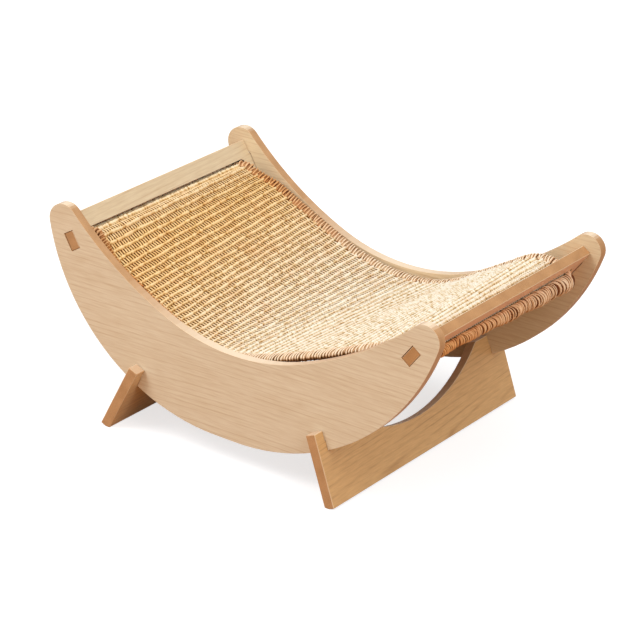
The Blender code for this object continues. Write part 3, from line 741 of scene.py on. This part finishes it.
# Stitched borders, one along each side of the mat
# The cloth's edge is folded over and whipped with two strands of soft yarn at a time. Each
# stitch loops round the fold and leans a little towards the back rail as it goes outwards.
STITCH_PITCH = 0.0038
STITCH_LEAN = 0.0026             # how far a stitch's outer end lies behind its inner end
STITCH_BITE = 0.0006             # how far it reaches into the open weave
STRAND_RADIUS = 0.0011
STRANDS_APART = 0.0018           # between the middles of a stitch's two strands
STRAND_SUNK = 0.0012             # how far every second strand lies deeper than the others
STRAND_SHORT = 0.0014            # and how much less far it reaches outwards
STRAND_SHADED = 0.4              # and its share of painted shade
STRAY_ALONG = 0.0002             # random spreads of the strands' places, heights and leans
STRAY_OUTER = 0.0004
STRAY_INNER = 0.0006
STRAY_HIGH = 0.0002
STRAY_LEAN = 0.0008
STRAY_RADIUS = 0.08              # as a share of the radius
BORDER_HALF_HEIGHT = 0.0045
FOLD_INSET = 0.0021              # from the stitches' outside to the folded cloth, at its edge,
FOLD_INSET_ABOVE = 0.0015        # and above and below it
FOLD_RINGS = 241
BAR_SIDES = 12                   # of a fold's and a hem roll's section
RING_SQUARENESS = 2.6            # 2 is round, and higher is squarer
ROUND = 2
RING_POINTS = 22
FACING_INSIDE = 0.25             # painted shade: how far a strand's inner side lies in the open
PAINTED_SHADE_BELOW = (-0.1, 0.5)         # painted shade under a stitch: full below this share of its height, gone over this one above
DEEP_INSIDE = 0.1                # painted shade: how far the fold and the rolled cloth lie in the open
# The same painted shade and light for the soft yarn of the borders and hems
YARN_DEEP = "#6E4624"
YARN_SHADE = "#B98C62"
YARN_MID = "#DEBF98"
YARN_PALE = "#F8E5CB"
YARN_WARM = "#F4D6BC"
YARN_GOLDEN = "#EAC08C"
YARN_ROUGHNESS = 0.9

wool = yarn(
    "soft_border_yarn", (YARN_DEEP, YARN_SHADE, YARN_MID, YARN_PALE), YARN_WARM, YARN_GOLDEN,
    YARN_ROUGHNESS)


def loops(centre, reach, shift, radius, squareness):
    """Closed strands round a rounded bar, each a superellipse.

    centre, reach = (wide, high) and shift are arrays over the loops: a point at angle a lies
    wide |cos a| ^ (2 / n) outwards and high |sin a| ^ (2 / n) upwards, each with its own sign,
    and shift times its outward share along the bar. A round section of this radius follows it.
    The points are in the bar's own frame: along it, outwards and upwards.
    """
    turn = np.linspace(0, 2 * pi, RING_POINTS, endpoint=False)[None, :]
    power = 2 / squareness
    wide, high = reach
    outward = np.sign(np.cos(turn)) * np.abs(np.cos(turn)) ** power
    upward = np.sign(np.sin(turn)) * np.abs(np.sin(turn)) ** power
    middle = np.stack([
        centre[0] + shift * outward,
        centre[1] + (wide - radius) * outward,
        centre[2] + (high - radius) * upward], -1)
    ahead = np.roll(middle, -1, 1) - np.roll(middle, 1, 1)
    ahead /= np.linalg.norm(ahead, axis=-1, keepdims=True)
    out = np.stack([np.zeros_like(ahead[..., 0]), ahead[..., 2], -ahead[..., 1]], -1)
    out /= np.linalg.norm(out, axis=-1, keepdims=True)
    beside = np.cross(ahead, out)
    around = section(YARN_SIDES)[None, None, :, None]
    points = middle[:, :, None] + radius[..., None, None] * (
        np.cos(around) * out[:, :, None] + np.sin(around) * beside[:, :, None])
    facing = FACING_INSIDE + (1 - FACING_INSIDE) * np.clip(np.cos(around[..., 0]), 0, 1)
    length = turn[..., None] * wide[..., None]
    every = np.ones(points.shape[:3])
    return np.moveaxis(points, -1, 0), facing * every, length * every, upward[..., None] * every


stitch_count = round(route_length / STITCH_PITCH)
stitch = (np.arange(stitch_count) + 0.5)[:, None] * route_length / stitch_count
second = np.repeat([0, 1], stitch_count)[:, None]
fold_along = np.linspace(0, route_length, FOLD_RINGS)[None, :, None]
bar_turn = section(BAR_SIDES)[None, None, :]
for side, name in ((-1, "near"), (1, "far")):
    middle = np.concatenate([stitch - STRANDS_APART / 2, stitch + STRANDS_APART / 2])
    middle = middle + dice.normal(0, STRAY_ALONG, middle.shape)
    outer = mat_edge(middle, side) - STRAND_SHORT * second
    outer = outer + dice.normal(0, STRAY_OUTER, middle.shape)
    inner = field_edge(middle, side) - STITCH_BITE + dice.normal(0, STRAY_INNER, middle.shape)
    high = BORDER_HALF_HEIGHT - STRAND_SUNK * second + dice.normal(0, STRAY_HIGH, middle.shape)
    radius = STRAND_RADIUS * (1 + dice.normal(0, STRAY_RADIUS, middle.shape))
    lean = -(STITCH_LEAN + dice.normal(0, STRAY_LEAN, middle.shape)) / 2
    centre = (middle, (outer + inner) / 2, np.zeros_like(middle))
    (along, across, up), facing, length, upward = loops(
        centre, ((outer - inner) / 2, high), lean, radius, RING_SQUARENESS)
    seed = dice.uniform(0, 1, middle.shape)[..., None]
    painted_cream_share = painted_cream(middle, side * outer)[..., None]
    # Painted shade on the lower half of each stitch, and on every second strand
    facing = facing * np.clip((upward - PAINTED_SHADE_BELOW[0]) / PAINTED_SHADE_BELOW[1], 0, 1)
    facing = facing * (1 - STRAND_SHADED * second[..., None])
    stitches = strands(
        f"{name}_border_stitches", laid(along, side * across, up), facing,
        (length, seed, painted_cream_share), looped=True)
    half_wide = (mat_edge(fold_along, side) - field_edge(fold_along, side)) / 2
    fold_across = (
        mat_edge(fold_along, side) - half_wide + (half_wide - FOLD_INSET) * np.cos(bar_turn))
    fold_up = (BORDER_HALF_HEIGHT - FOLD_INSET_ABOVE) * np.sin(bar_turn)
    fold = strands(
        f"{name}_border_fold", laid(fold_along, side * fold_across, fold_up), DEEP_INSIDE,
        (fold_along, 0, painted_cream(fold_along, side * fold_across)))
    for piece in (stitches, fold):
        piece.data.materials.append(wool)
        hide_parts(f"{name}_binding")


# Rolled hems, outside the two rails
# Each end of the mat is rolled up and wrapped with soft yarn, so that it can't pass back
# through its slot. The front one is thicker and hangs lower towards its far end, in lumps.
HEM_RADIUS = 0.0066              # over its wraps
HEM_ENDS = {"back": (-0.151, 0.151), "front": (-0.151, 0.143)}
HEM_SWELL = {"back": (1, 1), "front": (0.86, 1.42)}     # thickness at its near and far end
SWELL_FROM = 0.1                 # it swells as eased(share of its length * run - from)
SWELL_RUN = 1.1
HEM_OUT = (cos(RAIL_TILT), -sin(RAIL_TILT))             # away from the rail's face
HEM_STANDS_OFF = 0.5             # share of its extra thickness by which its middle moves off
HEM_SAGS = 0.6                   # the rail, and down
LUMP_PITCH = 0.0088
LUMP_HEIGHT = 0.055              # as a share of the hem's radius
LUMP_STRAY = 1.5                 # how far the lumps shift along it, as an angle,
LUMP_WAVES = 47                  # in waves of this many radians in a metre
SLOW_LUMP_HEIGHT = 0.04
SLOW_LUMP_WAVES = 90
END_ROUND = 0.009                # length of a rounded end
END_LIMIT = 0.92                 # share of that length at which the round is cut off
ROLL_SHORT = 0.002               # from the hem's end to the roll's, and to the last wrap
WRAPS_SHORT = 0.004
ROLL_RINGS = 121
WRAP_PITCH = 0.0021
WRAP_RADIUS = 0.0012
WRAP_SUNK = 0.11                 # every second wrap lies deeper, by this share of the radius
# every second wrap gets painted shade, by this share
WRAP_SHADED = 0.2
WRAP_LEAN = 0.0026
WRAP_LEAN_WAVES = 130
END_FAN = 0.006                  # how far the last wraps lean round the end,
END_FAN_FROM = 0.93              # from this share of the half length on
WRAP_STRAY = 0.0005              # random spreads of the wraps' places, sizes and leans
WRAP_STRAY_HEIGHT = 0.03
WRAP_STRAY_LEAN = 0.0009
WRAP_STRAY_RADIUS = 0.16
HEM_PAINTED_CREAM = (0.0, 0.8)          # share of painted cream light at its near and far end, the rest golden painted shade

hem_at = rail_centre + to_hem * fall


def thickness(place, side, ends, swell):
    """A roll's radius: an eased change from end to end, times lumps and rounded ends.

    The lumps are 1 + height times sin(2 pi place / pitch + a slow sine) + a slower sine, and an
    end is round as sqrt(1 - (share of its length) ^ 2).
    """
    near_end, far_end = ends
    far_share = (place - near_end) / (far_end - near_end)
    swollen = swell[0] + (swell[1] - swell[0]) * eased(far_share * SWELL_RUN - SWELL_FROM)
    beat = 2 * pi * place / LUMP_PITCH + LUMP_STRAY * np.sin(place * LUMP_WAVES + side)
    slow = SLOW_LUMP_HEIGHT * np.sin(place * SLOW_LUMP_WAVES + 2 * side)
    from_end = np.abs(place - (near_end + far_end) / 2) - (far_end - near_end) / 2
    from_end = np.clip(from_end / END_ROUND + 1, 0, END_LIMIT)
    lumps = 1 + LUMP_HEIGHT * np.sin(beat) + slow
    return HEM_RADIUS * swollen * lumps * np.sqrt(1 - from_end ** 2)


def hem_point(place, out, up, side, ends, swell):
    """Points beside a roll's middle, which moves off the rail and down as the roll gets thicker."""
    proud = thickness(place, side, ends, swell) - HEM_RADIUS
    x = side * (hem_at[0] + proud * HEM_OUT[0] * HEM_STANDS_OFF + out)
    z = hem_at[1] + proud * (HEM_OUT[1] * HEM_STANDS_OFF - HEM_SAGS) + up
    return np.stack(np.broadcast_arrays(x, place, z), -1)


for side, name in ((-1, "back"), (1, "front")):
    form = (side, HEM_ENDS[name], HEM_SWELL[name])
    near_end, far_end = HEM_ENDS[name]
    hem_centre = (near_end + far_end) / 2
    half_length = (far_end - near_end) / 2
    part = np.linspace(-1, 1, round(2 * half_length / WRAP_PITCH))[:, None]
    place = hem_centre + part * (half_length - WRAPS_SHORT)
    place = place + dice.normal(0, WRAP_STRAY, part.shape)
    second = np.arange(len(place))[:, None] % 2
    uneven = dice.normal(0, WRAP_STRAY_HEIGHT, place.shape)
    thick = thickness(place, *form) * (1 - WRAP_SUNK * second + uneven)
    lean = WRAP_LEAN * np.sin(place * WRAP_LEAN_WAVES)
    lean = lean + dice.normal(0, WRAP_STRAY_LEAN, place.shape)
    fan = np.clip((np.abs(part) - END_FAN_FROM) / (1 - END_FAN_FROM), 0, 1)
    lean = lean - END_FAN * np.sign(part) * fan
    radius = WRAP_RADIUS * (1 + dice.normal(0, WRAP_STRAY_RADIUS, place.shape))
    middle = np.zeros_like(place)
    (along, out, up), facing, length, _ = loops(
        (place, middle, middle), (thick, thick), lean, radius, ROUND)
    facing = facing * (1 - WRAP_SHADED * second[..., None])
    seed = dice.uniform(0, 1, place.shape)[..., None]
    painted_cream_share = HEM_PAINTED_CREAM[0] + (HEM_PAINTED_CREAM[1] - HEM_PAINTED_CREAM[0]) * (part[..., None] + 1) / 2
    wraps = strands(
        f"{name}_hem_wraps", hem_point(along, out, up, *form), facing,
        (length, seed, painted_cream_share), looped=True)

    ring = np.linspace(0, pi, ROLL_RINGS)[None, :, None]
    along = hem_centre - (half_length - ROLL_SHORT) * np.cos(ring)
    wide = thickness(along, *form) - WRAP_RADIUS
    roll = strands(
        f"{name}_hem_roll",
        hem_point(along, wide * np.cos(bar_turn), wide * np.sin(bar_turn), *form),
        DEEP_INSIDE, (along, 0, 0))
    for piece in (wraps, roll):
        piece.data.materials.append(wool)
        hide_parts(f"{name}_hem")


# Floor and light
# A white studio with a plain paper floor, a wide soft lamp above the left front and a weaker one
# on the right. The floor gives back little light from below, as a floor of warm wood would.
FLOOR_SIDE = 12
FLOOR_SEEN = "#B9B9B9"
FLOOR_GLOW = 0.7
FLOOR_BOUNCE = "#AE783C"
ROOM_LEVEL = 0.72
LAMPS = {                        # place, side and power
    "key": ((-1.2, -1.65, 2.3), 1.5, 46),
    "fill": ((1.8, -0.5, 1.7), 1.5, 20),
}

floor_mesh = bpy.data.meshes.new("floor")
half = FLOOR_SIDE / 2
floor_mesh.from_pydata(
    [(-half, -half, 0), (half, -half, 0), (half, half, 0), (-half, half, 0)], [], [(0, 1, 2, 3)])
floor = bpy.data.objects.new("floor", floor_mesh)
scene.collection.objects.link(floor)
paper = bpy.data.materials.new("studio_paper")
paper.use_nodes = True
tree = paper.node_tree
shader = tree.nodes["Principled BSDF"]
seen = add(tree, "ShaderNodeLightPath", (), "Is Camera Ray")
tone = add(tree, "ShaderNodeMix", {
    "Factor": seen, MIX_FROM: linear(FLOOR_BOUNCE), MIX_TO: linear(FLOOR_SEEN)}, MIXED,
    data_type="RGBA")
glow = add(tree, "ShaderNodeMath", (seen, FLOOR_GLOW), operation="MULTIPLY")
tree.links.new(tone, shader.inputs["Base Color"])
tree.links.new(glow, shader.inputs["Emission Strength"])
shader.inputs["Emission Color"].default_value = (1, 1, 1, 1)
shader.inputs["Roughness"].default_value = 1
shader.inputs["Specular IOR Level"].default_value = 0
floor_mesh.materials.append(paper)

room = bpy.data.worlds.new("white_room")
scene.world = room
room.use_nodes = True
tree = room.node_tree
seen = add(tree, "ShaderNodeLightPath", (), "Is Camera Ray")
brightness = add(tree, "ShaderNodeMapRange", {"Value": seen, "To Min": ROOM_LEVEL})
background = tree.nodes["Background"]
background.inputs["Color"].default_value = (1, 1, 1, 1)
tree.links.new(brightness, background.inputs["Strength"])

for name, (place, side, power) in LAMPS.items():
    data = bpy.data.lights.new(name, "AREA")
    data.size = side
    data.energy = power
    lamp = bpy.data.objects.new(name, data)
    lamp.location = place
    lamp.rotation_mode = "QUATERNION"
    lamp.rotation_quaternion = (LOOKED_AT - Vector(place)).to_track_quat("-Z", "Y")
    scene.collection.objects.link(lamp)
